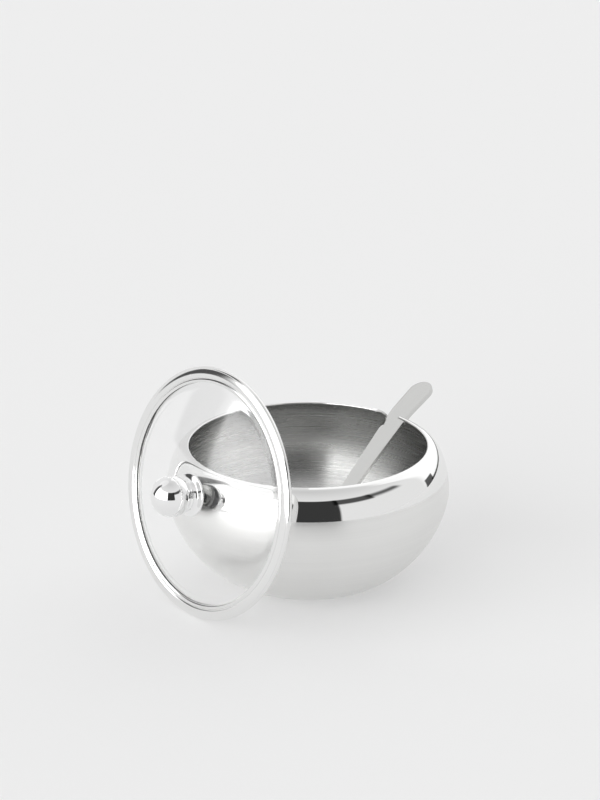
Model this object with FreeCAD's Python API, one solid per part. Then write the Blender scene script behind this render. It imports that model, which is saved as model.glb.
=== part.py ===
import FreeCAD, Part
import math
import os

# Sugar bowl with a lift-off glass lid and a spoon. Millimetres, +Z up.
# Origin: centre of the bowl's flat base. The spoon stands in the bowl and leaves
# through the rim notch; the lid stands on the floor and leans on the bowl's side.

# ---- bowl (one pressed sheet) ----
bowl_radius = 60.0          # largest outside radius
bowl_height = 60.1          # floor to rim
sheet = 1.0                 # wall thickness
foot_radius = 25.4          # flat part of the base
belly_height = 39.8         # height of the largest radius
belly_fullness = 1.67       # curve exponent from the base to the belly
shoulder_reach = 9.1        # how far the shoulder rolls in from the largest radius

# ---- notch for the spoon ----
notch_azimuth = 46.6        # degrees from +X towards +Y
notch_side_room = 0.55      # free width beside the handle, on each side
notch_offset = -1.0         # middle of the notch beside the bowl's axis
notch_corner = 1.8          # bottom corner radius of the U
notch_lead = 6.0            # width of the rounded lead-in on the counter-clockwise side

# ---- spoon ----
strip = 1.6                 # handle thickness
handle_offset = -1.0        # handle's centre plane beside the bowl's axis
handle_neck = 4.6           # handle width beside the head
handle_mid = 8.7            # handle width inside the bowl
handle_end = 11.2           # handle width outside the rim
notch_waist = 0.4           # how much narrower each side is in the notch
handle_overhang = 16.6      # handle beyond the largest radius
handle_low = 14.2           # height of the straight handle above the bowl's axis
handle_out = 27.0           # degrees, slope of the handle outside the rim
notch_rise = 3.7            # handle's centre line below the rim where it passes the notch
notch_room = 1.6            # free height under the handle in the notch
head_long = 34.0
head_wide = 25.0
head_deep = 6.0
head_wall = 1.1
head_slope = 22.0           # degrees, the head's tilt up towards the handle

# ---- lid ----
lid_radius = 52.4           # outside of the steel band
band_half = 1.4             # half of the band's thickness
band_edge = 1.1             # rounding of the band's outer edge
band_sheet = 0.4
band_width = 6.5            # radial width of the band's face
ring_width = 1.9            # inner ring of the band's face
locate_radius = 50.2        # underside step that drops into the mouth
locate_drop = 1.2
glass = 2.0                 # glass thickness
glass_rise = 7.0            # height of the dome
land_radius = 8.4           # flat land around the hole
hole_radius = 2.6

# ---- knob and its fastening ----
ball_radius = 8.5
ball_height = 10.8          # ball centre above the glass
base_radius = 9.0           # bell under the knob
base_height = 2.9
neck_radius = 6.1
bead_radius = 6.9
shank_radius = 2.0
seal = 0.6                  # thickness of the two sealing washers
seal_radius = 7.6
inner_seal_radius = 6.4
washer = 0.5
washer_radius = 5.4
head_radius = 4.4
head_height = 1.3

# ---- how the pieces stand ----
lid_azimuth = 220.6         # side of the bowl that the lid leans on
lid_lean = 11.1             # degrees from upright
lean_gap = 0.35             # between the leaning lid and the bowl
spoon_gap = 0.35            # between the spoon and the bowl
floor_gap = 0.02
fit = 0.05                  # between pieces that are fastened together

V = FreeCAD.Vector
Z_AXIS = V(0, 0, 1)
ORIGIN = V(0, 0, 0)


def spline(points, start=None, end=None):
    curve = Part.BSplineCurve()
    if start is not None:
        curve.interpolate(Points=points, InitialTangent=start, FinalTangent=end)
    else:
        curve.interpolate(Points=points)
    return curve.toShape()


def line(a, b):
    return Part.makeLine(a, b)


def arc(a, b, c):
    return Part.Arc(a, b, c).toShape()


def section(pairs):
    """Closed polygon in the XZ plane from (radius, height) pairs."""
    pts = [V(r, 0, z) for r, z in pairs]
    return Part.Face(Part.makePolygon(pts + [pts[0]]))


def turned(face):
    return face.revolve(ORIGIN, Z_AXIS, 360)


def arcs(points):
    """Chain of arcs, each through three of the points in turn."""
    return [arc(points[i], points[i + 1], points[i + 2]) for i in range(0, len(points) - 2, 2)]


def ring(r_in, r_out, z0, z1):
    return turned(section([(r_in, z0), (r_out, z0), (r_out, z1), (r_in, z1)]))


# ------------------------------------------------------------------ bowl
def outer_profile(n_low=16, n_high=10):
    """Outside of the bowl as (radius, height, normal) from the base to the rim."""
    out = []
    e = 2.0 / belly_fullness
    for i in range(n_low + 1):
        t = 0.5 * math.pi * i / n_low
        s, c = math.sin(t), math.cos(t)
        r = foot_radius + (bowl_radius - foot_radius) * s ** e
        z = belly_height * (1 - c ** e)
        out.append((r, z))
    rise = bowl_height - belly_height
    for i in range(1, n_high + 1):
        t = 0.5 * math.pi * i / n_high
        r = bowl_radius - shoulder_reach + shoulder_reach * math.cos(t)
        z = belly_height + rise * math.sin(t)
        out.append((r, z))
    full = []
    last = len(out) - 1
    for i, (r, z) in enumerate(out):
        if i == 0:
            n = (0.0, -1.0)
        elif i == last:
            n = (0.0, 1.0)
        else:
            dr = out[i + 1][0] - out[i - 1][0]
            dz = out[i + 1][1] - out[i - 1][1]
            size = math.hypot(dr, dz)
            n = (dz / size, -dr / size)
        full.append((r, z, n))
    return full


def make_bowl():
    prof = outer_profile()
    outside = [V(r, 0, z) for r, z, n in prof]
    inside = [V(r - sheet * n[0], 0, z - sheet * n[1]) for r, z, n in prof]
    rim = outside[-1].x
    edges = [
        line(V(0, 0, 0), outside[0]),
        *arcs(outside),
        arc(outside[-1], V(rim - 0.35 * sheet, 0, bowl_height - 0.5 * sheet), inside[-1]),
        *arcs(inside[::-1]),
        line(inside[0], V(0, 0, sheet)),
        line(V(0, 0, sheet), V(0, 0, 0)),
    ]
    body = turned(Part.Face(Part.Wire(edges)))
    return body.cut(make_notch_tool())


def handle_waist():
    """Half of the handle's width where it passes the notch."""
    return 0.5 * handle_end - notch_waist


def make_notch_tool():
    """U cut through the shoulder from above, along the spoon's handle."""
    low = notch_floor()
    top = bowl_height + 5.0
    lead_z = low + notch_corner
    lead_h = bowl_height - lead_z
    y0 = notch_offset - handle_waist() - notch_side_room
    y1 = notch_offset + handle_waist() + notch_side_room
    k = notch_corner
    q = k * (1 - math.sqrt(0.5))
    x = 0.55 * bowl_radius
    p = [V(x, y0, top), V(x, y0, low + k), V(x, y0 + q, low + q), V(x, y0 + k, low),
         V(x, y1 - k, low), V(x, y1 - q, low + q), V(x, y1, lead_z),
         V(x, y1 + 0.293 * notch_lead, lead_z + 0.707 * lead_h),
         V(x, y1 + notch_lead, bowl_height), V(x, y1 + notch_lead, top)]
    wire = Part.Wire([line(p[0], p[1]), arc(p[1], p[2], p[3]), line(p[3], p[4]),
                      arc(p[4], p[5], p[6]), arc(p[6], p[7], p[8]),
                      line(p[8], p[9]), line(p[9], p[0])])
    tool = Part.Face(wire).extrude(V(bowl_radius, 0, 0))
    tool.rotate(ORIGIN, Z_AXIS, notch_azimuth)
    return tool


# ----------------------------------------------------------------- spoon
def handle_line():
    """Slope and two points of the straight handle in its own upright plane."""
    r_notch = bowl_radius - 4.3
    z_notch = bowl_height - notch_rise
    slope = math.atan2(z_notch - handle_low, r_notch)
    return slope, r_notch, z_notch


def notch_floor():
    """Height of the notch's bottom: just under the handle where it crosses the wall."""
    slope, r_notch, z_notch = handle_line()
    return z_notch - 0.5 * strip / math.cos(slope) - notch_room


def inner_height(r):
    """Height of the bowl's inner face at radius r, below the belly."""
    pts = [(q - sheet * n[0], z - sheet * n[1]) for q, z, n in outer_profile(40, 2)]
    for (r0, z0), (r1, z1) in zip(pts, pts[1:]):
        if r0 <= r <= r1:
            return z0 + (z1 - z0) * (r - r0) / (r1 - r0)
        if r1 < r0:
            break
    return sheet if r < pts[0][0] else bowl_height


def head_centre():
    """Centre of the spoon's head: on the handle's line, just clear of the bowl."""
    slope, r_notch, z_notch = handle_line()
    a = math.radians(head_slope)
    ca, sa = math.cos(a), math.sin(a)
    half = 0.5 * head_long
    under = []
    for i in range(13):
        for k in range(1, 12):
            th, ph = math.pi * i / 12, math.pi * k / 12
            x = half * math.cos(ph)
            y = 0.5 * head_wide * math.sin(ph) * math.cos(th) + handle_offset
            z = -head_deep * math.sin(ph) * math.sin(th)
            under.append((x * ca - z * sa, y, x * sa + z * ca))

    def across(z):
        return (z + half * sa - handle_low) / math.tan(slope) - 3.0 - half * ca

    low, high = 0.0, bowl_height
    for i in range(24):
        z = 0.5 * (low + high)
        r = across(z)
        room = min(z + pz - inner_height(math.hypot(r + px, py)) for px, py, pz in under)
        if room < spoon_gap:
            low = z
        else:
            high = z
    return across(high), high


def make_spoon():
    slope, r_notch, z_notch = handle_line()
    rc, zc = head_centre()
    a = math.radians(head_slope)
    half = 0.5 * head_long
    ca, sa = math.cos(a), math.sin(a)

    def on_line(r):
        return r, handle_low + r * math.tan(slope)

    start = (rc + (half - 3.0) * ca, zc + (half - 3.0) * sa - 0.5 * strip)
    end_r = bowl_radius + handle_overhang
    bend_r = r_notch + 0.3
    span = end_r - bend_r
    out = math.radians(handle_out)
    easy = math.tan(0.5 * (slope + out))
    mid = [start, on_line(rc + half * ca + 9.0), on_line(0.45 * r_notch), on_line(r_notch - 6.0),
           (bend_r, z_notch + 0.1)]
    for f, steep in ((0.2, easy), (0.3, math.tan(out)), (0.5, math.tan(out))):
        mid.append((mid[-1][0] + f * span, mid[-1][1] + f * span * steep))
    pts = [V(r, 0, z) for r, z in mid]
    curve = Part.BSplineCurve()
    curve.interpolate(Points=pts, InitialTangent=V(ca, 0, sa),
                      FinalTangent=V(math.cos(out), 0, math.sin(out)))
    n = 40
    upper, lower = [], []
    for i in range(n + 1):
        u = curve.FirstParameter + (curve.LastParameter - curve.FirstParameter) * i / n
        p = curve.value(u)
        d = curve.tangent(u)[0]
        side = V(-d.z, 0, d.x) * (0.5 * strip)
        upper.append(p + side)
        lower.append(p - side)
    wire = Part.Wire([spline(upper), line(upper[-1], lower[-1]), spline(lower[::-1]),
                      line(lower[0], upper[0])])
    plate = Part.Face(wire).extrude(V(0, 60, 0))
    plate.translate(V(0, -30, 0))

    # plan outline: narrow neck, widening strip, half-round end
    x0 = start[0] - 0.01
    w_end = 0.5 * handle_end
    xt = end_r - w_end * 0.92
    stations = [(x0 - 1.0, 0.5 * handle_neck), (rc + half * ca + 6.0, 0.5 * handle_neck + 0.2),
                (0.7 * bowl_radius, 0.5 * handle_mid), (bowl_radius, handle_waist()), (xt, w_end)]
    left = [V(x, w, 0) for x, w in stations]
    right = [V(x, -w, 0) for x, w in stations]
    plan = Part.Wire([spline(left), arc(left[-1], V(end_r - 0.05, 0, 0), right[-1]),
                      spline(right[::-1]), line(right[0], left[0])])
    blank = Part.Face(plan).extrude(V(0, 0, 3 * bowl_height))
    blank.translate(V(0, 0, -bowl_height))
    handle = plate.common(blank)

    # head: a dished oval shell
    def oval(rx, ry, rz):
        ball = Part.makeSphere(10.0)
        m = FreeCAD.Matrix()
        m.scale(rx / 10.0, ry / 10.0, rz / 10.0)
        return ball.transformGeometry(m)

    outer = oval(half, 0.5 * head_wide, head_deep)
    inner = oval(half - head_wall, 0.5 * head_wide - head_wall, head_deep - head_wall)
    lid_box = Part.makeBox(4 * half, 4 * half, 4 * half, V(-2 * half, -2 * half, 0))
    for shape in (outer, inner, lid_box):
        shape.rotate(ORIGIN, V(0, 1, 0), -head_slope)
        shape.translate(V(rc, 0, zc))
    neck_clear = Part.makeBox(2 * half - 4.0, 4 * half, 30, V(-half, -2 * half, 0))
    neck_clear.rotate(ORIGIN, V(0, 1, 0), -head_slope)
    neck_clear.translate(V(rc, 0, zc))
    spoon = outer.cut(lid_box).fuse(handle).cut(inner).cut(neck_clear).removeSplitter()
    spoon.translate(V(0, handle_offset, 0))
    spoon.rotate(ORIGIN, Z_AXIS, notch_azimuth)
    return spoon


# ------------------------------------------------------------------- lid
# Lid pieces are drawn flat: s is the height above the middle of the band,
# towards the knob. stand_lid() then leans them on the bowl.
def dome_height(r):
    """Height of the glass's lower face above its edge at radius r."""
    edge = lid_radius - band_width - 1.4
    big = (edge * edge + glass_rise * glass_rise) / (2 * glass_rise)
    r = max(min(r, edge), land_radius)
    return math.sqrt(big * big - r * r) - (big - glass_rise)


def crown():
    """Height of the glass's upper face at the land."""
    return 0.5 * glass + dome_height(0)


def make_lid_glass():
    edge = lid_radius - band_width - 1.4
    rim = lid_radius - band_sheet - fit - 0.6
    n = 16
    low, high = [], []
    for i in range(n + 1):
        r = edge + (land_radius - edge) * i / n
        low.append(V(r, 0, dome_height(r) - 0.5 * glass))
        high.append(V(r, 0, dome_height(r) + 0.5 * glass))
    z0, z1 = low[-1].z, high[-1].z
    h = 0.5 * glass
    wire = Part.Wire([
        line(V(hole_radius, 0, z0), low[-1]), spline(low[::-1]), line(low[0], V(rim - 0.4, 0, -h)),
        arc(V(rim - 0.4, 0, -h), V(rim, 0, 0), V(rim - 0.4, 0, h)),
        line(V(rim - 0.4, 0, h), high[0]), spline(high), line(high[-1], V(hole_radius, 0, z1)),
        line(V(hole_radius, 0, z1), V(hole_radius, 0, z0))])
    return turned(Part.Face(wire))


def make_lid_band():
    """Folded steel channel around the glass, grooved face, locating step below."""
    ro, h, e = lid_radius, band_half, band_edge
    ri = ro - band_width
    groove = ri + ring_width
    g = 0.5 * glass + fit
    q = e * (1 - math.sqrt(0.5))
    pocket = ro - band_sheet - 0.45
    outline = [
        line(V(ri, 0, g), V(ri, 0, h - 0.22)),
        arc(V(ri, 0, h - 0.22), V(ri + 0.05, 0, h - 0.11), V(ri + 0.16, 0, h - 0.06)),
        line(V(ri + 0.16, 0, h - 0.06), V(groove - 0.2, 0, h - 0.06)),
        line(V(groove - 0.2, 0, h - 0.06), V(groove, 0, h - 0.26)),
        line(V(groove, 0, h - 0.26), V(groove + 0.22, 0, h)),
        line(V(groove + 0.22, 0, h), V(ro - e, 0, h)),
        arc(V(ro - e, 0, h), V(ro - q, 0, h - q), V(ro, 0, h - e)),
        line(V(ro, 0, h - e), V(ro, 0, e - h)),
        arc(V(ro, 0, e - h), V(ro - q, 0, q - h), V(ro - e, 0, -h)),
        line(V(ro - e, 0, -h), V(locate_radius, 0, -h)),
        line(V(locate_radius, 0, -h), V(locate_radius - 0.25, 0, -h - locate_drop)),
        line(V(locate_radius - 0.25, 0, -h - locate_drop), V(ri + 0.4, 0, -h - locate_drop)),
        line(V(ri + 0.4, 0, -h - locate_drop), V(ri, 0, -h - locate_drop + 0.4)),
        line(V(ri, 0, -h - locate_drop + 0.4), V(ri, 0, -g)),
        line(V(ri, 0, -g), V(pocket, 0, -g)),
        line(V(pocket, 0, -g), V(pocket, 0, g)),
        line(V(pocket, 0, g), V(ri, 0, g))]
    return turned(Part.Face(Part.Wire(outline)))


def make_outer_seal():
    z = crown()
    return ring(shank_radius + 0.3, seal_radius, z, z + seal)


def make_knob_base():
    """Bell-shaped foot with a rounded edge, bored for the screw."""
    z = crown() + seal
    top = z + base_height
    r = base_radius
    b = 0.55
    q = b * (1 - math.sqrt(0.5))
    bore = shank_radius + 0.15
    wall = [V(r - b, 0, z + 2 * b), V(r - 1.9, 0, z + 2 * b + 0.45),
            V(neck_radius + 0.35, 0, z + 0.72 * base_height), V(neck_radius, 0, top)]
    wire = Part.Wire([
        line(V(bore, 0, z), V(r - b, 0, z)),
        arc(V(r - b, 0, z), V(r, 0, z + b), V(r - b, 0, z + 2 * b)),
        spline(wall), line(V(neck_radius, 0, top), V(bore, 0, top)),
        line(V(bore, 0, top), V(bore, 0, z))])
    return turned(Part.Face(wire))


def make_knob():
    """Ball on a short neck with a bead, blind hole for the screw."""
    z = crown() + seal + base_height
    zc = crown() + ball_height
    zb = zc - math.sqrt(ball_radius ** 2 - neck_radius ** 2)
    neck_top = max(zb, z + 0.9)
    neck = Part.makeCylinder(neck_radius, neck_top - z + 0.6, V(0, 0, z))
    bead = Part.makeTorus(neck_radius, bead_radius - neck_radius, V(0, 0, neck_top - 0.35))
    ball = Part.makeSphere(ball_radius, V(0, 0, zc))
    body = ball.fuse(neck).fuse(bead)
    below = Part.makeBox(60, 60, 40, V(-30, -30, z - 40))
    hole = Part.makeCylinder(shank_radius + 0.02, zc + 1.0 - z, V(0, 0, z))
    return body.cut(below).cut(hole).removeSplitter()


def make_inner_seal():
    z = crown() - glass
    return ring(shank_radius + 0.3, inner_seal_radius, z - seal, z)


def make_steel_washer():
    z = crown() - glass - seal
    return ring(shank_radius + 0.15, washer_radius, z - washer, z)


def make_knob_screw():
    """Low-headed screw up through the glass into the knob, cross slot in its head."""
    z = crown() - glass - seal - washer
    zc = crown() + ball_height
    r, h = head_radius, head_height
    head = turned(Part.Face(Part.Wire([
        line(V(0, 0, z), V(r, 0, z)),
        line(V(r, 0, z), V(r, 0, z - 0.35)),
        arc(V(r, 0, z - 0.35), V(0.62 * r, 0, z - 0.8 * h), V(0, 0, z - h)),
        line(V(0, 0, z - h), V(0, 0, z))])))
    shank = Part.makeCylinder(shank_radius, zc - 0.5 - z, V(0, 0, z))
    screw = head.fuse(shank)
    for angle in (0, 90):
        slot = Part.makeBox(1.1 * r, 0.8, 0.7 * h, V(-0.55 * r, -0.4, z - h - 0.02))
        slot.rotate(ORIGIN, Z_AXIS, angle)
        screw = screw.cut(slot)
    return screw.removeSplitter()


def lid_underside(q):
    """Lowest point of the lid at distance q from its axis, in the lid's own height."""
    if q < head_radius + 0.2:
        return crown() - glass - seal - washer - head_height
    if q < washer_radius + 0.2:
        return crown() - glass - seal - washer
    if q < inner_seal_radius + 0.2:
        return crown() - glass - seal
    if q < lid_radius - band_width - 0.3:
        return dome_height(q) - 0.5 * glass
    if q < locate_radius + 0.3:
        return -band_half - locate_drop
    return -band_half


def lid_place():
    """Where the lid stands: edge on the floor, just clear of the bowl's side."""
    lean = math.radians(lid_lean)
    c, s = math.cos(lean), math.sin(lean)
    height = ((lid_radius - band_edge) * c + (band_half - band_edge) * s + band_edge + floor_gap)
    prof = outer_profile()

    def gap(dist):
        worst = 1e9
        for r, z, n in prof:
            for k in range(0, 61, 2):
                phi = math.radians(k)
                px, py = r * math.cos(phi) - dist, r * math.sin(phi)
                pz = z - height
                up = -px * s + pz * c
                out = px * c + pz * s
                q = math.hypot(py, up)
                if q <= lid_radius + 0.5:
                    worst = min(worst, lid_underside(q) - out)
        return worst

    near, far = 0.0, 2 * bowl_radius + lid_radius
    for i in range(40):
        mid = 0.5 * (near + far)
        if gap(mid) < lean_gap:
            near = mid
        else:
            far = mid
    return far, height, c, s


def stand_lid(shape, place):
    dist, height, c, s = place
    az = math.radians(lid_azimuth)
    dx, dy = math.cos(az), math.sin(az)
    across = V(-dy, dx, 0)
    up = V(-dx * s, -dy * s, c)
    out = V(dx * c, dy * c, s)
    m = FreeCAD.Matrix(across.x, up.x, out.x, dx * dist,
                       across.y, up.y, out.y, dy * dist,
                       across.z, up.z, out.z, height,
                       0, 0, 0, 1)
    shape.Placement = FreeCAD.Placement(m).multiply(shape.Placement)
    return shape


def main():
    os.makedirs("parts", exist_ok=True)
    place = lid_place()
    pieces = {
        "bowl": make_bowl(),
        "spoon": make_spoon(),
        "lid_glass": stand_lid(make_lid_glass(), place),
        "lid_band": stand_lid(make_lid_band(), place),
        "knob": stand_lid(make_knob(), place),
        "knob_base": stand_lid(make_knob_base(), place),
        "outer_seal": stand_lid(make_outer_seal(), place),
        "inner_seal": stand_lid(make_inner_seal(), place),
        "steel_washer": stand_lid(make_steel_washer(), place),
        "knob_screw": stand_lid(make_knob_screw(), place),
    }
    for name, shape in pieces.items():
        box = shape.BoundBox
        print("%-13s solids %d valid %s volume %9.1f  z %6.2f to %6.2f" %
              (name, len(shape.Solids), shape.isValid(), shape.Volume, box.ZMin, box.ZMax))
        shape.exportStep("parts/%s.step" % name)
    dist, height, c, s = place
    print("lid centre %.2f out, %.2f up" % (dist, height))


main()
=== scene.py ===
import math

import bmesh
import bpy
from mathutils import Matrix, Vector


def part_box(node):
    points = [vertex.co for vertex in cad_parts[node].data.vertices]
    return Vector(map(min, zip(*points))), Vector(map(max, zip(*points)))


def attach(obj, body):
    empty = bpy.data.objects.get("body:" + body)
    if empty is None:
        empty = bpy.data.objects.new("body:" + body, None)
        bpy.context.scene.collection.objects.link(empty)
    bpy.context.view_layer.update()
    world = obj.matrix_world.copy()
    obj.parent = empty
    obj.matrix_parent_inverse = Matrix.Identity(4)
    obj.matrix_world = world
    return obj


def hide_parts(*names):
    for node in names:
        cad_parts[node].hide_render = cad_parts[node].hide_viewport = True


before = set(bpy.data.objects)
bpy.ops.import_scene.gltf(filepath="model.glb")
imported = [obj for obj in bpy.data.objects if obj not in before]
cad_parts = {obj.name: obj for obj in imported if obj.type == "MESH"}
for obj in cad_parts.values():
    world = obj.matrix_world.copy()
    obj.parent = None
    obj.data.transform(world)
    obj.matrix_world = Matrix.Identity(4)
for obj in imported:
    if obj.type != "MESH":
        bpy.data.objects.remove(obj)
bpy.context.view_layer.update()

MM = 0.001          # sizes below are in millimetres unless a name says otherwise
JOIN = 1e-7         # metres: points of a drawn line this close are one
SEAM = 2e-6         # metres: joins the first and last steps of a spin


# --------------------------------------------------------------- mesh tools
def deselect():
    """Leaves edit mode and selects nothing."""
    if bpy.context.object is not None and bpy.context.object.mode != "OBJECT":
        bpy.ops.object.mode_set(mode="OBJECT")
    bpy.ops.object.select_all(action="DESELECT")


def only(obj):
    """Selects obj alone and makes it active."""
    deselect()
    obj.select_set(True)
    bpy.context.view_layer.objects.active = obj


def apply_all(obj):
    """Applies every modifier and the object's own place."""
    only(obj)
    for mod in list(obj.modifiers):
        bpy.ops.object.modifier_apply(modifier=mod.name)
    bpy.ops.object.transform_apply(location=True, rotation=True, scale=True)


def smooth(obj, degrees):
    """Smooth shading, with edges sharper than degrees kept crisp."""
    only(obj)
    bpy.ops.object.shade_smooth_by_angle(angle=math.radians(degrees))


def point_start(name, x, y, z):
    """A plane drawn together to one vertex, in edit mode, ready to be extruded along a line."""
    deselect()
    bpy.ops.mesh.primitive_plane_add(size=0.001, location=(0, 0, 0))
    obj = bpy.context.object
    obj.name = obj.data.name = name
    bpy.ops.object.mode_set(mode="EDIT")
    bpy.ops.mesh.select_mode(type="VERT")
    bpy.ops.mesh.select_all(action="SELECT")
    bpy.ops.mesh.merge(type="CENTER")
    bpy.ops.transform.translate(value=(x, y, z))
    return obj


def pull_line(points):
    """Extrudes the selected vertex through the points that follow the first."""
    for (xa, ya, za), (xb, yb, zb) in zip(points, points[1:]):
        bpy.ops.mesh.extrude_region_move(
            TRANSFORM_OT_translate={"value": (xb - xa, yb - ya, zb - za)})


def lathe(name, outline, steps=192, sharp=32):
    """Spins a closed outline of (radius, height) into a turned piece."""
    pts = [(r * MM, 0.0, z * MM) for r, z in outline]
    obj = point_start(name, *pts[0])
    pull_line(pts)
    bpy.ops.mesh.select_all(action="SELECT")
    bpy.ops.mesh.remove_doubles(threshold=JOIN)
    bpy.ops.mesh.select_all(action="SELECT")
    bpy.ops.mesh.spin(steps=steps, angle=2 * math.pi, center=(0, 0, 0), axis=(0, 0, 1))
    bpy.ops.mesh.select_all(action="SELECT")
    bpy.ops.mesh.remove_doubles(threshold=SEAM)
    bpy.ops.mesh.normals_make_consistent(inside=False)
    bpy.ops.object.mode_set(mode="OBJECT")
    smooth(obj, sharp)
    return obj


def arc(cr, cz, radius, start, end, n):
    """Points of an arc about (cr, cz), angles in degrees."""
    out = []
    for i in range(n + 1):
        a = math.radians(start + (end - start) * i / n)
        out.append((cr + radius * math.cos(a), cz + radius * math.sin(a)))
    return out


def curve(points, n=6):
    """Smooth line through the points, n steps from each to the next."""
    out = []
    for i in range(len(points) - 1):
        p0 = points[max(i - 1, 0)]
        p1, p2 = points[i], points[i + 1]
        p3 = points[min(i + 2, len(points) - 1)]
        for k in range(n):
            t = k / n
            out.append(tuple(0.5 * (2 * b + (c - a) * t + (2 * a - 5 * b + 4 * c - d) * t * t
                                    + (3 * b - a - 3 * c + d) * t ** 3)
                             for a, b, c, d in zip(p0, p1, p2, p3)))
    out.append(points[-1])
    return out


# ------------------------------------------------------------------- sizes
BOWL_R = 60.0                       # belly, the widest place
BOWL_H = 60.1
SHEET = 1.0
FOOT_R = 25.4                       # flat the bowl stands on
FOOT_RING_R = 12.0                  # an extra ring of points in the flat
BELLY_H = 39.8                      # height of the widest place
FULLNESS = 1.67                     # 2 would make the lower part an ellipse
REACH = 9.1                         # how far the shoulder rolls in
POLISH_Z = 48.4                     # satin below, polished above
RIM_PAINT = 0.52 * SHEET            # the rolled edge is polished this far down
SOLE_PAINT = 0.4                    # the sole is satin up to here

NOTCH_AZ = math.radians(46.6)       # where the handle passes the rim
NOTCH_W = 11.5
NOTCH_MID = -1.0
NOTCH_LOW = 54.8
NOTCH_CORNER = 2.0
NOTCH_LEAD = 6.0                    # the rolled-over side of the notch

LID_R = 52.4
BAND_HALF = 1.4
BAND_EDGE = 1.1
BAND_WIDTH = 6.5
RING_WIDTH = 1.9
STEP_R = 50.2                       # outside of the step under the band
POCKET_R = 51.55                    # the glass sits in the band out to here
GLASS = 2.0
GLASS_HOLE_R = 2.6
RISE = 7.0                          # height of the dome
DOME_R = LID_R - BAND_WIDTH - 1.4   # where the dome meets the flat edge
LAND_R = 8.4                        # flat in the middle, under the knob
LID_AZ = math.radians(220.6)
LID_LEAN = math.radians(11.1)


# ------------------------------------------------------------------- bowl
def bowl_profile(n_low=44, n_high=36):
    """The outside line from the foot to the rim, and its outward normals."""
    e = 2.0 / FULLNESS
    pts = []
    for i in range(n_low + 1):
        t = 0.5 * math.pi * i / n_low
        pts.append((FOOT_R + (BOWL_R - FOOT_R) * math.sin(t) ** e,
                    BELLY_H * (1 - math.cos(t) ** e)))
    for i in range(1, n_high + 1):
        t = 0.5 * math.pi * i / n_high
        pts.append((BOWL_R - REACH + REACH * math.cos(t),
                    BELLY_H + (BOWL_H - BELLY_H) * math.sin(t)))
    normals = []
    for i in range(len(pts)):
        if i == 0:
            normals.append((0.0, -1.0))
        elif i == len(pts) - 1:
            normals.append((0.0, 1.0))
        else:
            dr = pts[i + 1][0] - pts[i - 1][0]
            dz = pts[i + 1][1] - pts[i - 1][1]
            size = math.hypot(dr, dz)
            normals.append((dz / size, -dr / size))
    return pts, normals


def make_bowl():
    """The pressed bowl, with a ring of points where the polished shoulder starts."""
    outer, normals = bowl_profile()
    inner = [(r - SHEET * n[0], z - SHEET * n[1]) for (r, z), n in zip(outer, normals)]
    k = next(i for i, (r, z) in enumerate(outer) if z > POLISH_Z)
    (ra, za), (rb, zb) = outer[k - 1], outer[k]
    t = (POLISH_Z - za) / (zb - za)
    outer = outer[:k] + [(ra + (rb - ra) * t, POLISH_Z)] + outer[k:]
    rim = arc(outer[-1][0], BOWL_H - 0.5 * SHEET, 0.5 * SHEET, 90, 270, 8)
    line = ([(0.0, 0.0), (FOOT_RING_R, 0.0)] + outer + rim[1:-1] + inner[::-1]
            + [(FOOT_RING_R, SHEET), (0.0, SHEET)])
    bowl = lathe("bowl_steel", line, steps=240, sharp=40)
    join_shapes(bowl, notch_cutter(), "DIFFERENCE")
    smooth(bowl, 40)
    return bowl


def flat_piece(name, line):
    """A closed line of (x, y, z) drawn as one face, left in edit mode and selected."""
    pts = [(x * MM, y * MM, z * MM) for x, y, z in line]
    obj = point_start(name, *pts[0])
    pull_line(pts + [pts[0]])
    bpy.ops.mesh.select_all(action="SELECT")
    bpy.ops.mesh.remove_doubles(threshold=JOIN)
    bpy.ops.mesh.select_all(action="SELECT")
    bpy.ops.mesh.edge_face_add()
    bpy.ops.mesh.select_all(action="SELECT")
    return obj


def thicken(obj, x=0.0, y=0.0, z=0.0):
    """Pulls the drawn face out into a closed block and leaves edit mode."""
    bpy.ops.mesh.extrude_region_move(TRANSFORM_OT_translate={"value": (x * MM, y * MM, z * MM)})
    bpy.ops.mesh.select_all(action="SELECT")
    bpy.ops.mesh.normals_make_consistent(inside=False)
    bpy.ops.object.mode_set(mode="OBJECT")
    return obj


def join_shapes(obj, other, how):
    """Joins, cuts or intersects obj with other, which is then gone."""
    mod = obj.modifiers.new(how.lower(), "BOOLEAN")
    mod.operation = how
    mod.solver = "EXACT"
    mod.object = other
    apply_all(obj)
    bpy.data.objects.remove(other, do_unlink=True)


def notch_cutter():
    """U-shaped bar along the spoon's handle, its upper edge rounded over on one side."""
    top = BOWL_H + 5.0
    k = NOTCH_CORNER
    y0 = NOTCH_MID - 0.5 * NOTCH_W
    y1 = y0 + NOTCH_W
    lead_z = NOTCH_LOW + k
    lead_mid = (y1 + 0.293 * NOTCH_LEAD, lead_z + 0.707 * (BOWL_H - lead_z))    # at 45 degrees
    sag = arc_through((y1, lead_z), lead_mid, (y1 + NOTCH_LEAD, BOWL_H), 14)
    line = ([(y0, top)] + arc(y0 + k, NOTCH_LOW + k, k, 180, 270, 8)
            + arc(y1 - k, NOTCH_LOW + k, k, 270, 360, 8) + sag[1:] + [(y1 + NOTCH_LEAD, top)])
    bar = flat_piece("notch_cutter", [(0.55 * BOWL_R, y, z) for y, z in line])
    thicken(bar, x=BOWL_R)
    bar.rotation_euler = (0, 0, NOTCH_AZ)
    apply_all(bar)
    return bar


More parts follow.
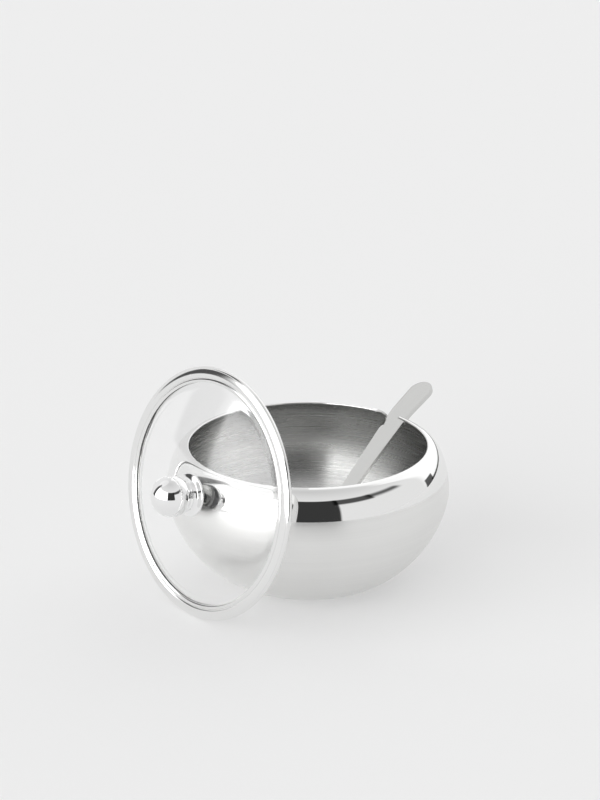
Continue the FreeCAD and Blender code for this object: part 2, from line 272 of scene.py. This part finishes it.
def arc_through(a, b, c, n):
    """Points of the circle through a, b and c, from a to c."""
    ax, ay = a
    bx, by = b
    cx, cy = c
    d = 2 * (ax * (by - cy) + bx * (cy - ay) + cx * (ay - by))
    ux = ((ax * ax + ay * ay) * (by - cy) + (bx * bx + by * by) * (cy - ay)
          + (cx * cx + cy * cy) * (ay - by)) / d
    uy = ((ax * ax + ay * ay) * (cx - bx) + (bx * bx + by * by) * (ax - cx)
          + (cx * cx + cy * cy) * (bx - ax)) / d
    r = math.hypot(ax - ux, ay - uy)
    t0 = math.atan2(ay - uy, ax - ux)
    t1 = math.atan2(cy - uy, cx - ux)
    if t1 - t0 > math.pi:
        t1 -= 2 * math.pi
    if t0 - t1 > math.pi:
        t1 += 2 * math.pi
    turns = [t0 + (t1 - t0) * i / n for i in range(n + 1)]
    return [(ux + r * math.cos(t), uy + r * math.sin(t)) for t in turns]


# ------------------------------------------------------------------ spoon
HANDLE_OFF = -1.0                   # the handle's middle, beside the notch's direction
STRIP = 1.6                         # thickness
EDGE_ROUND = 0.38
HANDLE_SLOPE = math.radians(37.148)
HANDLE_LOW = 14.2                   # where the handle's line crosses the bowl's axis
R_NOTCH = 55.7
HANDLE_TIP = [(56.0, 56.5), (60.12, 59.082), (66.3, 62.231), (76.6, 67.479)]
END_R = 76.6
NECK, MIDDLE, END = 4.6, 8.7, 11.2  # widths along the handle
WAIST = 0.4                         # the handle is this much narrower, each side, in the notch
HEAD_LONG, HEAD_WIDE, HEAD_DEEP, HEAD_WALL = 34.0, 25.0, 6.0, 1.1
HEAD_SLOPE = math.radians(22.0)
HEAD_R, HEAD_Z = -15.806, 10.071    # middle of the head's edge
ROW_STEPS = 60
ASIDE = 500                         # moves the grid's kept side, half a metre out, to the start


def between(points, x):
    """The value at x along a line of (x, value) points."""
    for (xa, va), (xb, vb) in zip(points, points[1:]):
        if x <= xb:
            return va + (vb - va) * (x - xa) / (xb - xa)
    return points[-1][1]


def handle_blank(rows):
    """A strip drawn out row by row through (x, z, half width), then thickened."""
    deselect()
    bpy.ops.mesh.primitive_grid_add(x_subdivisions=1, y_subdivisions=8, size=1.0,
                                    location=(0, 0, 0))
    strip = bpy.context.object
    strip.name = strip.data.name = "spoon_steel"
    bpy.ops.object.mode_set(mode="EDIT")
    bpy.ops.mesh.select_mode(type="VERT")
    bpy.ops.mesh.select_all(action="DESELECT")
    bm = bmesh.from_edit_mesh(strip.data)
    for v in bm.verts:
        v.select = v.co.x > 0
    bmesh.update_edit_mesh(strip.data)
    bpy.ops.mesh.delete(type="VERT")
    bpy.ops.mesh.select_all(action="SELECT")
    x, z, half = rows[0]
    bpy.ops.transform.translate(value=((x + ASIDE) * MM, 0, z * MM))
    bpy.ops.transform.resize(value=(1, 2 * half * MM, 1))
    for (xa, za, ha), (xb, zb, hb) in zip(rows, rows[1:]):
        bpy.ops.mesh.extrude_region_move(
            TRANSFORM_OT_translate={"value": ((xb - xa) * MM, 0, (zb - za) * MM)})
        bpy.ops.transform.resize(value=(1, hb / ha, 1))
    bpy.ops.mesh.select_all(action="SELECT")
    bpy.ops.mesh.normals_make_consistent(inside=False)
    bpy.ops.object.mode_set(mode="OBJECT")
    thick = strip.modifiers.new("thickness", "SOLIDIFY")
    thick.thickness = STRIP * MM
    thick.offset = 0.0
    thick.use_even_offset = True
    edge = strip.modifiers.new("soft_edge", "BEVEL")
    edge.width = EDGE_ROUND * MM
    edge.segments = 3
    edge.limit_method = "ANGLE"
    edge.angle_limit = math.radians(50)
    apply_all(strip)
    return strip


def make_spoon():
    """Flat handle with an oval, hollowed head, drawn along x and turned into its place."""
    ca, sa = math.cos(HEAD_SLOPE), math.sin(HEAD_SLOPE)
    half = 0.5 * HEAD_LONG

    def on_line(r):
        return r, HANDLE_LOW + r * math.tan(HANDLE_SLOPE)

    start = (HEAD_R + (half - 3.0) * ca, HEAD_Z + (half - 3.0) * sa - 0.5 * STRIP)
    mid = curve([start, on_line(HEAD_R + half * ca + 9.0), on_line(0.45 * R_NOTCH),
                 on_line(R_NOTCH - 6.0)] + HANDLE_TIP, 9)
    x0, w = start[0], 0.5 * END
    xt = END_R - w * 0.92
    sides = curve([(x0 - 1.0, 0.5 * NECK), (HEAD_R + half * ca + 6.0, 0.5 * NECK + 0.2),
                   (0.7 * BOWL_R, 0.5 * MIDDLE), (BOWL_R, w - WAIST), (xt, w)], 9)
    tip = arc_through((xt, w), (END_R, 0.0), (xt, -w), 28)[1:14]
    stations = [x0 + (xt - x0) * i / ROW_STEPS for i in range(ROW_STEPS + 1)]
    rows = [(x, between(mid, x), between(sides, x)) for x in stations]
    rows += [(x, between(mid, x), y) for x, y in tip]
    plate = handle_blank(rows)

    def oval(name, rx, ry, rz):
        deselect()
        bpy.ops.mesh.primitive_uv_sphere_add(segments=72, ring_count=36, radius=1.0,
                                             location=(0, 0, 0))
        obj = bpy.context.object
        obj.name = name
        bpy.ops.object.mode_set(mode="EDIT")
        bpy.ops.mesh.select_all(action="SELECT")
        bpy.ops.transform.resize(value=(rx * MM, ry * MM, rz * MM))
        return obj

    def seat(obj):
        obj.rotation_euler = (0, -HEAD_SLOPE, 0)
        obj.location = (HEAD_R * MM, 0, HEAD_Z * MM)
        apply_all(obj)
        return obj

    head = oval("head_outside", half, 0.5 * HEAD_WIDE, HEAD_DEEP)
    bpy.ops.mesh.bisect(plane_co=(0, 0, 0), plane_no=(0, 0, 1), use_fill=True, clear_outer=True)
    bpy.ops.object.mode_set(mode="OBJECT")
    join_shapes(plate, seat(head), "UNION")
    hollow = oval("head_hollow", half - HEAD_WALL, 0.5 * HEAD_WIDE - HEAD_WALL,
                  HEAD_DEEP - HEAD_WALL)
    bpy.ops.object.mode_set(mode="OBJECT")
    join_shapes(plate, seat(hollow), "DIFFERENCE")
    clear = flat_piece("neck_clear", [(-half, -60, 0.0), (half - 4.0, -60, 0.0),
                                      (half - 4.0, 60, 0.0), (-half, 60, 0.0)])
    thicken(clear, z=30)
    join_shapes(plate, seat(clear), "DIFFERENCE")

    plate.location = (0, HANDLE_OFF * MM, 0)
    apply_all(plate)
    plate.rotation_euler = (0, 0, NOTCH_AZ)
    apply_all(plate)
    smooth(plate, 35)
    return plate


# -------------------------------------------------------------------- lid
def lid_matrix():
    """Turns a piece made upright about z into the lid's leaning place."""
    low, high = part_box("lid_band")
    c, s = math.cos(LID_LEAN), math.sin(LID_LEAN)
    dx, dy = math.cos(LID_AZ), math.sin(LID_AZ)
    centre = (Vector(low) + Vector(high)) / 2
    return Matrix(((-dy, -dx * s, dx * c, centre.x),
                   (dx, -dy * s, dy * c, centre.y),
                   (0.0, c, s, centre.z),
                   (0, 0, 0, 1)))


def dome(r):
    """Height of the middle of the glass at radius r."""
    big = (DOME_R * DOME_R + RISE * RISE) / (2 * RISE)
    r = max(min(r, DOME_R), LAND_R)
    return math.sqrt(big * big - r * r) - (big - RISE)


CROWN = 0.5 * GLASS + dome(0)       # top of the glass in the middle
SEAL = 0.6
BASE_H = 2.9
BASE_R = 9.0
BASE_BORE_R = 2.2
NECK_R = 6.1
BEAD_R = 6.9
BALL_R = 8.5
BALL_H = 10.8                       # middle of the ball above the glass
KNOB_BORE_R = 2.05


def stand(obj):
    """Puts an upright piece of the lid where the lid leans."""
    only(obj)
    obj.matrix_world = lid_matrix() @ obj.matrix_world
    bpy.ops.object.transform_apply(location=True, rotation=True, scale=True)
    return obj


def make_glass():
    """Domed disc with a flat edge for the band and a hole for the screw."""
    edge, rim, h = DOME_R, LID_R - 1.05, 0.5 * GLASS
    n = 40
    radii = [edge + (LAND_R - edge) * i / n for i in range(n + 1)]
    low = [(r, dome(r) - h) for r in radii]
    high = [(r, dome(r) + h) for r in radii]
    blend_low = curve([(edge + 2.2, -h), (edge + 1.0, -h + 0.04), low[1]], 4)
    blend_high = curve([(edge + 2.2, h), (edge + 1.0, h + 0.04), high[1]], 4)
    hole_low, hole_high = (GLASS_HOLE_R, low[-1][1]), (GLASS_HOLE_R, high[-1][1])
    outline = ([hole_low] + low[:1:-1] + blend_low[::-1]
               + [(rim - 0.4, -h), (rim, 0.0), (rim - 0.4, h)]
               + blend_high + high[2:] + [hole_high, hole_low])
    return stand(lathe("lid_glass_dome", outline, steps=192, sharp=25))


def make_band():
    """Folded band: a narrow ring inside, a groove, a rounded face, and the step underneath."""
    ro, h, e = LID_R, BAND_HALF, BAND_EDGE
    ri = ro - BAND_WIDTH
    g = ri + RING_WIDTH             # the groove
    inner = 0.5 * GLASS + 0.05      # half the pocket for the glass
    crown = g + 1.3                 # the highest line of the face
    rest = ro - crown
    face = [(crown + rest * math.sin(math.radians(a)), h * math.cos(math.radians(a)))
            for a in range(0, 91, 5)]
    mid = 0.5 * (ri + g)
    ring = [(mid - (mid - ri) * math.cos(math.radians(a)),
             h - 0.55 + 0.5 * math.sin(math.radians(a))) for a in range(0, 161, 10)]
    outline = ([(ri, inner)] + ring + [(g - 0.04, h - 0.42), (g + 0.05, h - 0.42)]
               + curve([(g + 0.12, h - 0.28), (g + 0.45, h - 0.08), (g + 0.9, h - 0.01),
                        face[0]], 4)
               + face[1:] + arc(ro - e, e - h, e, 0, -90, 12)
               + [(STEP_R, -h), (50.05, -h - 0.5), (49.95, -h - 1.05), (49.75, -h - 1.2),
                  (ri + 0.5, -h - 1.2), (ri + 0.12, -h - 1.08), (ri, -h - 0.75), (ri, -inner),
                  (POCKET_R, -inner), (POCKET_R, inner), (ri, inner)])
    return stand(lathe("lid_band_steel", outline, steps=256, sharp=28))


def make_knob():
    """Ball on a short neck with a bead, bored from below for the screw."""
    z = CROWN + SEAL + BASE_H
    ball_z = CROWN + BALL_H
    neck_top = max(ball_z - math.sqrt(BALL_R ** 2 - NECK_R ** 2), z + 0.9)
    bead_z = neck_top - 0.35
    bead = BEAD_R - NECK_R
    start = math.degrees(math.asin((neck_top + 0.12 - ball_z) / BALL_R))
    outline = ([(KNOB_BORE_R, z), (NECK_R - 0.1, z), (NECK_R, z + 0.1),
                (NECK_R, bead_z - bead - 0.1)]
               + arc(NECK_R, bead_z, bead, -75, 62, 10)
               + arc(0, ball_z, BALL_R, start, 90, 48)[1:-1]
               + [(0.0, ball_z + BALL_R), (0.0, ball_z + 1.0),
                  (KNOB_BORE_R, ball_z + 1.0), (KNOB_BORE_R, z)])
    return stand(lathe("knob_ball", outline, steps=128, sharp=30))


def make_knob_base():
    """Bell-shaped foot with a rolled lower edge."""
    z = CROWN + SEAL
    top = z + BASE_H
    b = 0.55                        # half the rolled edge
    wall = curve([(BASE_R - b, z + 2 * b), (BASE_R - 1.9, z + 2 * b + 0.45),
                  (NECK_R + 0.35, z + 0.72 * BASE_H), (NECK_R, top)], 8)
    outline = ([(BASE_BORE_R, z), (BASE_R - b, z)] + arc(BASE_R - b, z + b, b, -90, 90, 10)[1:]
               + wall[1:] + [(BASE_BORE_R, top), (BASE_BORE_R, z)])
    return stand(lathe("knob_foot", outline, steps=128, sharp=34))


# ------------------------------------------------------------ node helpers
def put(tree, kind, inputs=None, **settings):
    """Adds a node, sets its settings, and fills or links its inputs by name or number."""
    node = tree.nodes.new(kind)
    for key, value in settings.items():
        setattr(node, key, value)
    for key, value in (inputs or {}).items():
        if isinstance(value, bpy.types.NodeSocket):
            tree.links.new(value, node.inputs[key])
        else:
            node.inputs[key].default_value = value
    return node


def sums(tree, operation, *values):
    """One step of arithmetic."""
    return put(tree, "ShaderNodeMath", dict(enumerate(values)), operation=operation).outputs[0]


def spread(tree, value, low, high, to_low=0.0, to_high=1.0, kind="LINEAR"):
    """Maps value from low..high to to_low..to_high."""
    return put(tree, "ShaderNodeMapRange",
               {"Value": value, "From Min": low, "From Max": high,
                "To Min": to_low, "To Max": to_high}, interpolation_type=kind).outputs[0]


def new_group(name, ins, outs):
    """An empty node group with named inputs (name, kind, value) and outputs (name, kind)."""
    tree = bpy.data.node_groups.new(name, "ShaderNodeTree")
    for label, kind, value in ins:
        sock = tree.interface.new_socket(label, in_out="INPUT", socket_type=kind)
        if value is not None:
            sock.default_value = value
    for label, kind in outs:
        tree.interface.new_socket(label, in_out="OUTPUT", socket_type=kind)
    return tree, tree.nodes.new("NodeGroupInput"), tree.nodes.new("NodeGroupOutput")


def use_group(tree, group, inputs):
    return put(tree, "ShaderNodeGroup", inputs, node_tree=group)


def noise(tree, place, scale, detail, **more):
    return put(tree, "ShaderNodeTexNoise",
               {"Vector": place, "Scale": scale, "Detail": detail, **more}).outputs["Fac"]


FLOAT, VECTOR = "NodeSocketFloat", "NodeSocketVector"


def turned_grain_group():
    """Fine lines round the piece's upright axis, as a brush leaves on a spinning bowl."""
    tree, inn, out = new_group(
        "turned grain",
        [("Place", VECTOR, None), ("Lines", FLOAT, 900.0), ("Wander", FLOAT, 4.0)],
        [("Lines", FLOAT), ("Bands", FLOAT)])
    x, y, z = put(tree, "ShaderNodeSeparateXYZ", {0: inn.outputs["Place"]}).outputs
    flat = put(tree, "ShaderNodeCombineXYZ", {"X": x, "Y": y, "Z": 0.0}).outputs[0]
    radius = put(tree, "ShaderNodeVectorMath", {0: flat}, operation="LENGTH").outputs["Value"]
    unit = put(tree, "ShaderNodeVectorMath", {0: flat}, operation="NORMALIZE").outputs[0]
    ux, uy, _ = put(tree, "ShaderNodeSeparateXYZ", {0: unit}).outputs
    for label, share, loose, detail in (("Lines", 1.0, 1.0, 3.0), ("Bands", 0.16, 0.45, 2.0)):
        lines = sums(tree, "MULTIPLY", inn.outputs["Lines"], share)
        wander = sums(tree, "MULTIPLY", inn.outputs["Wander"], loose)
        place = put(tree, "ShaderNodeCombineXYZ", {
            "X": sums(tree, "MULTIPLY", ux, wander),
            "Y": sums(tree, "MULTIPLY", uy, wander),
            "Z": sums(tree, "MULTIPLY", radius, lines)}).outputs[0]
        grain = put(tree, "ShaderNodeTexNoise", {
            "Vector": place, "W": sums(tree, "MULTIPLY", z, lines), "Scale": 1.0,
            "Detail": detail, "Roughness": 0.6}, noise_dimensions="4D")
        tree.links.new(grain.outputs["Fac"], out.inputs[label])
    return tree


def fine_scratch_group():
    """Hair-fine scratches along one direction, with gaps between them."""
    tree, inn, out = new_group(
        "fine scratches",
        [("Place", VECTOR, None), ("Amount", FLOAT, 0.5), ("Fineness", FLOAT, 1.0)],
        [("Scratches", FLOAT)])
    stretched = put(tree, "ShaderNodeVectorMath",
                    {0: inn.outputs["Place"], 1: (60.0, 2600.0, 2600.0)},
                    operation="MULTIPLY").outputs[0]
    scaled = put(tree, "ShaderNodeVectorMath",
                 {0: stretched, "Scale": inn.outputs["Fineness"]}, operation="SCALE").outputs[0]
    sharp = spread(tree, noise(tree, scaled, 1.0, 2.0), 0.56, 0.72, kind="SMOOTHSTEP")
    gaps = noise(tree, inn.outputs["Place"], 70.0, 2.0)
    seen = sums(tree, "MULTIPLY", sharp, spread(tree, gaps, 0.42, 0.62))
    tree.links.new(sums(tree, "MULTIPLY", seen, inn.outputs["Amount"]), out.inputs["Scratches"])
    return tree


def handling_group():
    """Very faint cloudy film from handling and wiping."""
    tree, inn, out = new_group(
        "handling film",
        [("Place", VECTOR, None), ("Size", FLOAT, 55.0), ("Amount", FLOAT, 0.02)],
        [("Film", FLOAT)])
    cloud = noise(tree, inn.outputs["Place"], inn.outputs["Size"], 5.0, Distortion=0.6)
    soft = spread(tree, cloud, 0.45, 0.75, kind="SMOOTHSTEP")
    tree.links.new(sums(tree, "MULTIPLY", soft, inn.outputs["Amount"]), out.inputs["Film"])
    return tree


TURNED = turned_grain_group()
SCRATCH = fine_scratch_group()
FILM = handling_group()


def new_material(name):
    """A material, its tree, its shader and the object's own coordinates."""
    mat = bpy.data.materials.new(name)
    mat.use_nodes = True
    tree = mat.node_tree
    shader = tree.nodes["Principled BSDF"]
    place = put(tree, "ShaderNodeTexCoord").outputs["Object"]
    return mat, tree, shader, place


def join_up(tree, shader, socket, value):
    tree.links.new(value, shader.inputs[socket])


def raise_surface(tree, shader, height, distance, strength=1.0):
    """Bump of height, distance metres deep."""
    bump = put(tree, "ShaderNodeBump",
               {"Height": height, "Distance": distance, "Strength": strength})
    join_up(tree, shader, "Normal", bump.outputs[0])


def tone(tree, value, dark, light):
    """A colour that runs from dark to light with value."""
    return put(tree, "ShaderNodeMix", {0: value, 6: (*dark, 1.0), 7: (*light, 1.0)},
               data_type="RGBA").outputs[2]


def turned_steel(name, dark, light, rough, grain, bump, stretch, lines, wander):
    """Steel with lines brushed round its axis."""
    mat, tree, sh, place = new_material(name)
    turned = use_group(tree, TURNED, {"Place": place, "Lines": lines, "Wander": wander})
    film = use_group(tree, FILM, {"Place": place, "Size": 45.0, "Amount": 0.03}).outputs[0]
    mixed = sums(tree, "ADD", sums(tree, "MULTIPLY", turned.outputs["Lines"], 0.6),
                 sums(tree, "MULTIPLY", turned.outputs["Bands"], 0.4))
    even = spread(tree, mixed, 0.34, 0.66)
    join_up(tree, sh, "Base Color", tone(tree, even, dark, light))
    brushed = spread(tree, even, 0, 1, rough + grain, rough - grain)
    join_up(tree, sh, "Roughness", sums(tree, "ADD", brushed, film))
    raise_surface(tree, sh, turned.outputs["Lines"], bump)
    sh.inputs["Metallic"].default_value = 1.0
    sh.inputs["Anisotropic"].default_value = stretch
    sh.inputs["Anisotropic Rotation"].default_value = 0.25
    tangent = put(tree, "ShaderNodeTangent", direction_type="RADIAL", axis="Z")
    join_up(tree, sh, "Tangent", tangent.outputs[0])
    return mat


def polished_steel(name, color, rough, scratches, film_amount, bump=1e-6, along=(0.0, 0.0, 0.0)):
    """Buffed steel with a few hair-fine scratches and a breath of film."""
    mat, tree, sh, place = new_material(name)
    turned = put(tree, "ShaderNodeMapping", {"Vector": place, "Rotation": along}).outputs[0]
    marks = use_group(tree, SCRATCH, {"Place": turned, "Amount": scratches}).outputs[0]
    film = use_group(tree, FILM, {"Place": place, "Size": 60.0, "Amount": film_amount}).outputs[0]
    join_up(tree, sh, "Roughness", sums(tree, "ADD", sums(tree, "ADD", film, rough),
                                        sums(tree, "MULTIPLY", marks, 0.12)))
    light = tuple(min(1.0, c * 1.02) for c in color)
    dark = tuple(c * 0.93 for c in color)
    join_up(tree, sh, "Base Color", tone(tree, marks, light, dark))
    raise_surface(tree, sh, marks, bump)
    sh.inputs["Metallic"].default_value = 1.0
    return mat


def clear_glass():
    """Clear glass that lets shadow rays straight through."""
    mat, tree, sh, place = new_material("lid_clear_glass")
    film = use_group(tree, FILM, {"Place": place, "Size": 30.0, "Amount": 0.012}).outputs[0]
    join_up(tree, sh, "Roughness", film)
    join_up(tree, sh, "Base Color", tone(tree, sums(tree, "MULTIPLY", film, 20.0),
                                         (1.0, 1.0, 1.0), (0.985, 0.99, 0.988)))
    sh.inputs["Transmission Weight"].default_value = 1.0
    sh.inputs["IOR"].default_value = 1.5
    through = put(tree, "ShaderNodeBsdfTransparent")
    ray = put(tree, "ShaderNodeLightPath").outputs["Is Shadow Ray"]
    mix = put(tree, "ShaderNodeMixShader", {0: ray, 1: sh.outputs[0], 2: through.outputs[0]})
    tree.links.new(mix.outputs[0], tree.nodes["Material Output"].inputs["Surface"])
    return mat


def seal_rubber(name, dark, light):
    """Fine-grained rubber or silicone."""
    mat, tree, sh, place = new_material(name)
    grit = noise(tree, place, 2400.0, 4.0)
    film = use_group(tree, FILM, {"Place": place, "Size": 150.0, "Amount": 0.5}).outputs[0]
    join_up(tree, sh, "Base Color", tone(tree, film, dark, light))
    join_up(tree, sh, "Roughness", spread(tree, grit, 0.3, 0.7, 0.45, 0.62))
    raise_surface(tree, sh, grit, 2e-5, 0.6)
    return mat


def paint(obj, *mats):
    """Finishes of a new piece."""
    obj.data.materials.clear()
    for mat in mats:
        obj.data.materials.append(mat)


def repaint(obj, mat):
    """A better finish for a CAD piece that stays."""
    for slot in obj.material_slots:
        slot.material = mat


# ---------------------------------------------------------- pieces in place
SATIN, POLISHED, BRUSHED = 0, 1, 2  # the bowl's three finishes, by slot


def finish_bowl():
    """The bowl: satin outside, polished shoulder and rim, brushed inside, the inside's colour
    darker than the outside's as painted shade of the hollow.
    """
    bowl = make_bowl()
    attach(bowl, "bowl")
    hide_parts("bowl")
    satin = turned_steel("bowl_satin_outside", (0.80, 0.80, 0.79), (0.83, 0.83, 0.82),
                         rough=0.30, grain=0.02, bump=3e-7, stretch=0.55,
                         lines=1300.0, wander=0.5)
    belt = polished_steel("bowl_polished_shoulder", (0.86, 0.86, 0.855), 0.03, 0.25,
                          film_amount=0.012, bump=4e-7)
    # the inside is the same steel sheet as the outside, set darker here: painted shade of the
    # bowl's hollow
    inside = turned_steel("bowl_brushed_inside_painted_shade", (0.60, 0.60, 0.595), (0.68, 0.68, 0.67),
                          rough=0.27, grain=0.03, bump=2e-7, stretch=0.75,
                          lines=1500.0, wander=0.35)
    paint(bowl, satin, belt, inside)
    for face in bowl.data.polygons:
        c, n = face.center, face.normal
        outside = c.x * n.x + c.y * n.y > 0 or c.z < SOLE_PAINT * MM
        if c.z > (BOWL_H - RIM_PAINT) * MM or (outside and c.z > POLISH_Z * MM):
            face.material_index = POLISHED
        else:
            face.material_index = SATIN if outside else BRUSHED


def finish_lid_and_spoon():
    """The other new pieces, and better finishes for the CAD pieces that stay."""
    knob_steel = polished_steel("knob_chrome", (0.90, 0.90, 0.90), 0.015, 0.2,
                                film_amount=0.01, bump=3e-7)
    band_steel = polished_steel("band_polished", (0.84, 0.84, 0.835), 0.07, 0.5,
                                film_amount=0.03)
    spoon_steel = polished_steel("spoon_polished", (0.64, 0.64, 0.63), 0.08, 0.8,
                                 film_amount=0.03, bump=1.5e-6, along=(0.0, 0.0, -NOTCH_AZ))
    screw_steel = polished_steel("fastener_steel", (0.72, 0.72, 0.71), 0.18, 0.6,
                                 film_amount=0.05)
    rubber = seal_rubber("seal_dark_rubber", (0.03, 0.03, 0.031), (0.07, 0.07, 0.072))
    silicone = seal_rubber("seal_grey_silicone", (0.24, 0.24, 0.24), (0.32, 0.32, 0.32))
    glass = clear_glass()
    for make, node, slot, mat in ((make_glass, "lid_glass", "lid_glass", glass),
                                  (make_band, "lid_band", "band_steel", band_steel),
                                  (make_knob, "knob", "knob_chrome", knob_steel),
                                  (make_knob_base, "knob_base", "knob_chrome", knob_steel),
                                  (make_spoon, "spoon", "spoon_steel", spoon_steel)):
        piece = make()
        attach(piece, "spoon" if node == "spoon" else "lid")
        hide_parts(node)
        paint(piece, mat)
    for node in ("steel_washer", "knob_screw"):
        repaint(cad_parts[node], screw_steel)
    repaint(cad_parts["outer_seal"], rubber)
    repaint(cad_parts["inner_seal"], silicone)


# ------------------------------------------------------------------ studio
FLOOR_WHITE = 0.52
FLOOR_FLECK = 0.006
FLOOR_GLOW = 0.36
TENT = 0.86                         # level of the white tent
ZENITH = 0.74                       # its share straight overhead
CAMERA_PLACE = (0.0, -0.87949, 0.39739)
CAMERA_DOWN = 0.3469                # radians below the horizon
CAMERA_TURN = 0.0042
CAMERA_LENS = 99.5895
# each card: azimuth from, to, elevation from, to and soft edge in degrees (azimuth 0 is in
# front, + to the right), then how dark a flag is, or how much a panel adds to the tent
FLAGS = (
    (-14, 26, -2, 41, 1.2, 0.95),
    (22, 60, 28, 41, 2.0, 0.9),
    (55, 92, 31, 41, 4.0, 0.85),
    (112, 124, -2, 9, 1.0, 0.9),
    (122, 176, -3, 2.0, 0.6, 0.9),
    (-112, -96, -2, 50, 2.0, 0.9),
)
PANELS = (
    (-92, -18, 0, 19, 2, 3.6),
    (-92, -18, 19, 42, 2, 1.2),
    (112, 190, 2, 60, 5, 0.3),
)


def studio_world():
    """A white tent, darker overhead, with dark flags and bright panels round the bowl."""
    world = bpy.data.worlds.new("studio_tent")
    bpy.context.scene.world = world
    world.use_nodes = True
    tree = world.node_tree
    ray = put(tree, "ShaderNodeTexCoord").outputs["Generated"]
    x, y, z = put(tree, "ShaderNodeSeparateXYZ", {0: ray}).outputs
    up = sums(tree, "MULTIPLY", sums(tree, "ARCSINE", z), 180 / math.pi)
    about = sums(tree, "ARCTAN2", x, sums(tree, "MULTIPLY", y, -1.0))
    about = sums(tree, "MULTIPLY", about, 180 / math.pi)

    def between_edges(value, low, high, edge):
        return sums(tree, "MULTIPLY",
                    spread(tree, value, low - edge, low + edge, kind="SMOOTHSTEP"),
                    spread(tree, value, high - edge, high + edge, 1.0, 0.0, kind="SMOOTHSTEP"))

    def card(a0, a1, e0, e1, edge):
        return sums(tree, "MULTIPLY", between_edges(about, a0, a1, edge),
                    between_edges(up, e0, e1, edge))

    level = spread(tree, up, 35, 90, TENT, ZENITH * TENT)
    for *window, add in PANELS:
        level = sums(tree, "ADD", level, sums(tree, "MULTIPLY", card(*window), add))
    for *window, dark in FLAGS:
        kept = sums(tree, "SUBTRACT", 1.0, sums(tree, "MULTIPLY", card(*window), dark))
        level = sums(tree, "MULTIPLY", level, kept)
    back = tree.nodes["Background"]
    back.inputs["Color"].default_value = (1, 1, 1, 1)
    tree.links.new(level, back.inputs["Strength"])


def studio():
    """Floor, world, a faint sun and the camera."""
    deselect()
    bpy.ops.mesh.primitive_plane_add(size=6.0, location=(0, 0, 0))
    floor = bpy.context.object
    floor.name = "floor"
    mat, tree, sh, place = new_material("floor_paper")
    join_up(tree, sh, "Base Color", tone(tree, noise(tree, place, 900.0, 3.0),
                                         (FLOOR_WHITE - FLOOR_FLECK,) * 3,
                                         (FLOOR_WHITE + FLOOR_FLECK,) * 3))
    sh.inputs["Roughness"].default_value = 0.9
    sh.inputs["Specular IOR Level"].default_value = 0.1
    sh.inputs["Emission Color"].default_value = (1, 1, 1, 1)
    sh.inputs["Emission Strength"].default_value = FLOOR_GLOW
    paint(floor, mat)
    studio_world()

    sun = bpy.data.lights.new("soft_key", "SUN")
    sun.energy = 0.05
    sun.angle = math.radians(40)
    key = bpy.data.objects.new("soft_key", sun)
    bpy.context.collection.objects.link(key)
    key.rotation_euler = Vector((-0.55, 0.35, 1.0)).to_track_quat("Z", "Y").to_euler()

    cam_data = bpy.data.cameras.new("camera")
    cam = bpy.data.objects.new("camera", cam_data)
    bpy.context.collection.objects.link(cam)
    cam.location = CAMERA_PLACE
    cam.rotation_euler = (math.radians(90) - CAMERA_DOWN, 0, CAMERA_TURN)
    cam_data.lens = CAMERA_LENS
    cam_data.sensor_width = 36
    cam_data.clip_start = 0.01
    cam_data.clip_end = 50
    bpy.context.scene.camera = cam
    bpy.context.scene.view_settings.view_transform = "Standard"


finish_bowl()
finish_lid_and_spoon()
studio()
bpy.context.view_layer.update()
